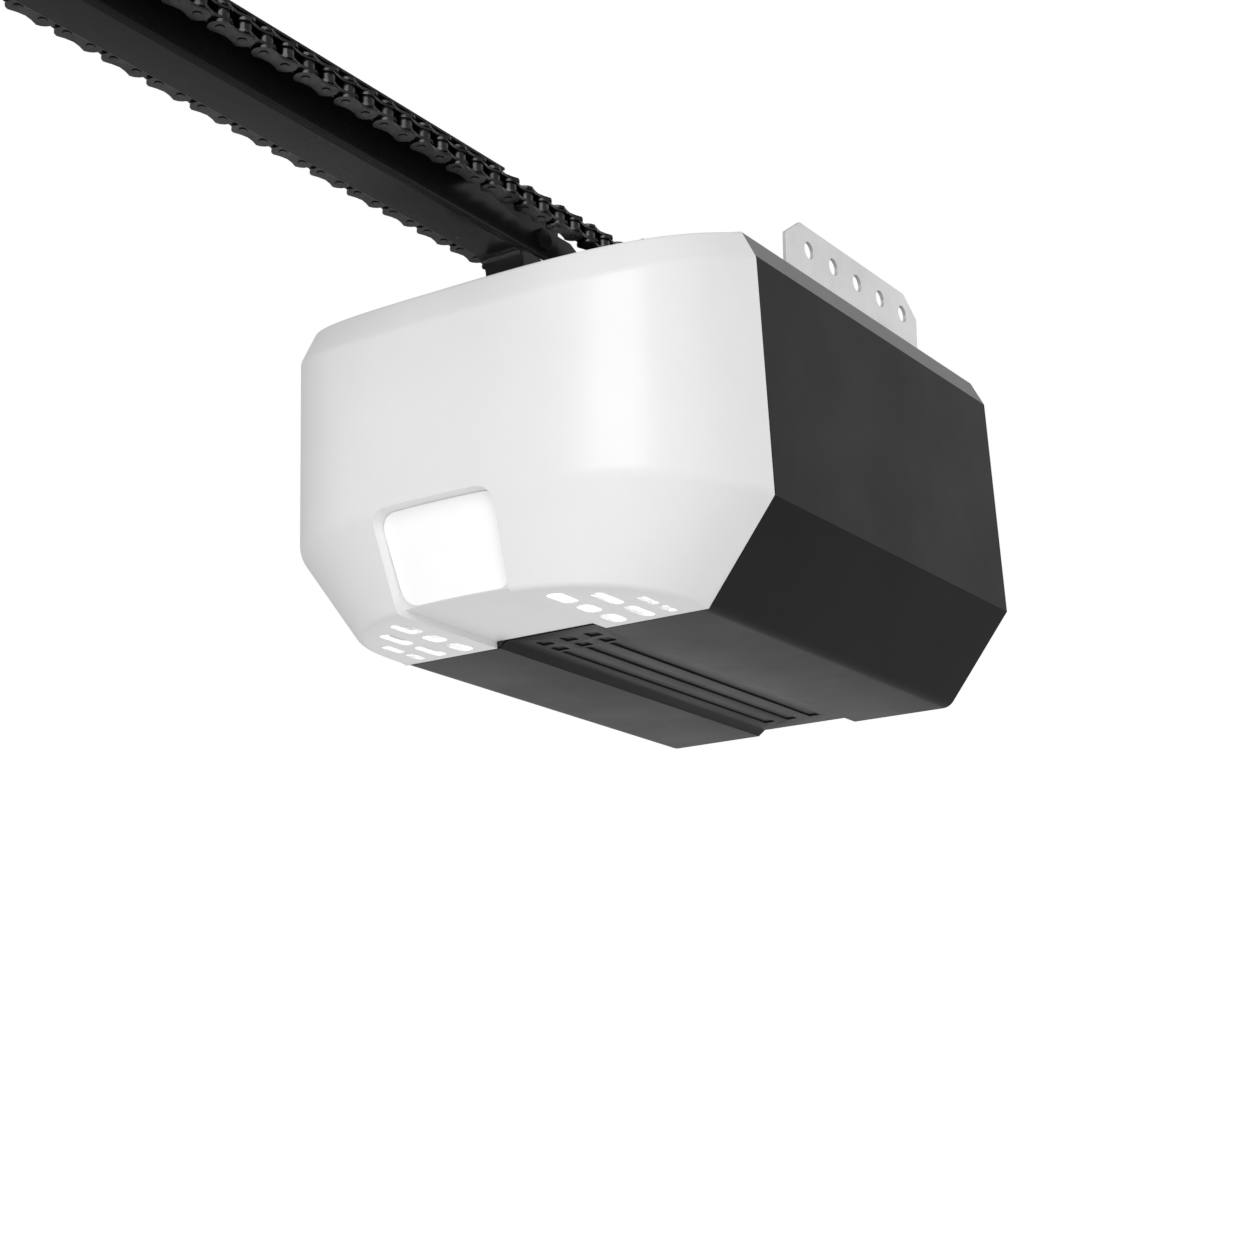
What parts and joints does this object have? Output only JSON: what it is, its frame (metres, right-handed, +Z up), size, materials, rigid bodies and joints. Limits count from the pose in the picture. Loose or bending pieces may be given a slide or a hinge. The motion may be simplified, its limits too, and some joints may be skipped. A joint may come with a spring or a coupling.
{
  "type": "chain drive garage door opener",
  "caption": "Overhead garage door opener: a folded steel head with a white lens, a hat-section rail, a chain and cable loop, a trolley and a door arm.",
  "frame": {"origin": "hanging point: midway between the hole rows of the two hanger brackets on the head's deck", "axes": "+X the head's right side seen from the door, -Y along the rail to the door, +Z up"},
  "size_m": [0.248, 3.022, 0.732],
  "materials": {
    "case_dark": "satin black paint",
    "deck_grey": "satin grey paint",
    "rail_black": "black paint",
    "zinc": "zinc plated",
    "fastener_zinc": "bright zinc",
    "chain_steel": "oiled dark steel",
    "wire_rope": "stranded steel",
    "gear_steel": "machined",
    "nylon": "natural nylon",
    "black_plastic": "fine texture",
    "lens_white": "translucent white",
    "lens_bright": "clear white",
    "reflector_white": "white paint",
    "lamp_white": "opal",
    "socket_white": "moulded",
    "motor_dark": "dark paint",
    "motor_alloy": "cast",
    "board_green": "solder mask",
    "lever_red": "moulded",
    "button_grey": "moulded"
  },
  "bodies": {
    "root": {"lower_cover": "case_dark", "deck_pan": "deck_grey", "rear_panel": "case_dark", "light_panel": "reflector_white", "lamp_holders": "socket_white", "lamps": "lamp_white", "hanger_bracket_right": "zinc", "hanger_bracket_left": "zinc", "hanger_screws": "fastener_zinc", "rail": "rail_black", "rail_mount": "rail_black", "mount_bolts": "fastener_zinc", "rail_cross_bolt": "fastener_zinc", "deck_bush": "nylon", "sprocket_cover": "black_plastic", "chain_wrap": "chain_steel", "chain_near_right": "chain_steel", "chain_near_left": "chain_steel", "chain_far_right": "chain_steel", "chain_far_left": "chain_steel", "drive_cable": "wire_rope", "cable_ends": "fastener_zinc", "idler_bracket": "zinc", "idler_bolts": "fastener_zinc", "pulley_axle": "fastener_zinc", "pulley_spacers": "fastener_zinc", "motor_can": "motor_dark", "motor_ends": "motor_alloy", "motor_bracket": "zinc", "sensor_fork": "black_plastic", "transformer": "motor_dark", "logic_board": "board_green", "board_posts": "socket_white", "control_panel": "black_plastic", "power_inlet": "black_plastic", "terminal_strip": "socket_white"},
    "lens": {"lens_cover": "lens_white", "lens_panel": "lens_bright"},
    "drive": {"sprocket": "gear_steel", "sprocket_shaft": "gear_steel", "drive_gear": "nylon", "sensor_wheel": "black_plastic"},
    "rotor": {"motor_rotor": "gear_steel"},
    "pulley": {"front_pulley": "nylon"},
    "trolley": {"trolley_shell": "zinc", "trolley_slides": "nylon", "chain_clip": "zinc", "arm_pin": "fastener_zinc", "lever_pin": "fastener_zinc"},
    "lever": {"release_lever": "lever_red"},
    "arm": {"straight_arm": "zinc", "curved_arm": "zinc", "arm_bolts": "fastener_zinc"},
    "door_mount": {"door_bracket": "zinc", "door_pin": "fastener_zinc"},
    "header": {"header_bracket": "zinc", "header_pin": "fastener_zinc"},
    "up_key": {"up_button": "button_grey"},
    "down_key": {"down_button": "button_grey"},
    "learn_key": {"learn_button": "button_grey"}
  },
  "joints": [
    {"name": "trolley_slide", "type": "slide", "parent": "root", "child": "trolley", "axis": [0, 1, 0], "range_m": [-1.4836, 0.65], "deforming": ["chain_wrap", "chain_near_right", "chain_near_left", "chain_far_right", "chain_far_left", "drive_cable", "cable_ends"]},
    {"name": "sprocket_turn", "type": "hinge", "parent": "root", "child": "drive", "pos_m": [0, -0.0763, 0], "axis": [0, 0, 1], "range_deg": [-3208.6, 1408.6]},
    {"name": "rotor_turn", "type": "hinge", "parent": "root", "child": "rotor", "pos_m": [0.0343, -0.0763, -0.059], "axis": [0, 1, 0], "range_deg": [-51277.4, 22477.1]},
    {"name": "pulley_turn", "type": "hinge", "parent": "root", "child": "pulley", "pos_m": [0, -2.81, 0], "axis": [0, 0, 1], "range_deg": [-3208.6, 1408.6]},
    {"name": "lens_hinge", "type": "hinge", "parent": "root", "child": "lens", "pos_m": [0, -0.1208, -0.197], "axis": [1, 0, 0], "range_deg": [0, 60]},
    {"name": "header_pivot", "type": "hinge", "parent": "root", "child": "header", "pos_m": [0, -2.864, -0.008], "axis": [1, 0, 0], "range_deg": [-10, 45]},
    {"name": "arm_swing", "type": "hinge", "parent": "trolley", "child": "arm", "pos_m": [0, -1.14, -0.048], "axis": [-1, 0, 0], "range_deg": [0, 75]},
    {"name": "door_swing", "type": "hinge", "parent": "arm", "child": "door_mount", "pos_m": [0.003, -1.23, -0.668], "axis": [1, 0, 0], "range_deg": [-90, 30]},
    {"name": "release_pull", "type": "hinge", "parent": "trolley", "child": "lever", "pos_m": [0, -1.072, -0.039], "axis": [-1, 0, 0], "range_deg": [0, 35], "stiffness_Nm_per_rad": 0.1, "springref_deg": -17.19},
    {"name": "up_press", "type": "slide", "parent": "root", "child": "up_key", "axis": [0, -1, 0], "range_m": [0, 0.0012], "stiffness_N_per_m": 400, "springref_m": -0.001},
    {"name": "down_press", "type": "slide", "parent": "root", "child": "down_key", "axis": [0, -1, 0], "range_m": [0, 0.0012], "stiffness_N_per_m": 400, "springref_m": -0.001},
    {"name": "learn_press", "type": "slide", "parent": "root", "child": "learn_key", "axis": [0, -1, 0], "range_m": [0, 0.0012], "stiffness_N_per_m": 400, "springref_m": -0.001}
  ],
  "couplings": [
    {"joint": "sprocket_turn", "follows": "trolley_slide", "rad_per_m": 37.688},
    {"joint": "rotor_turn", "follows": "trolley_slide", "rad_per_m": 603},
    {"joint": "pulley_turn", "follows": "trolley_slide", "rad_per_m": 37.688}
  ]
}
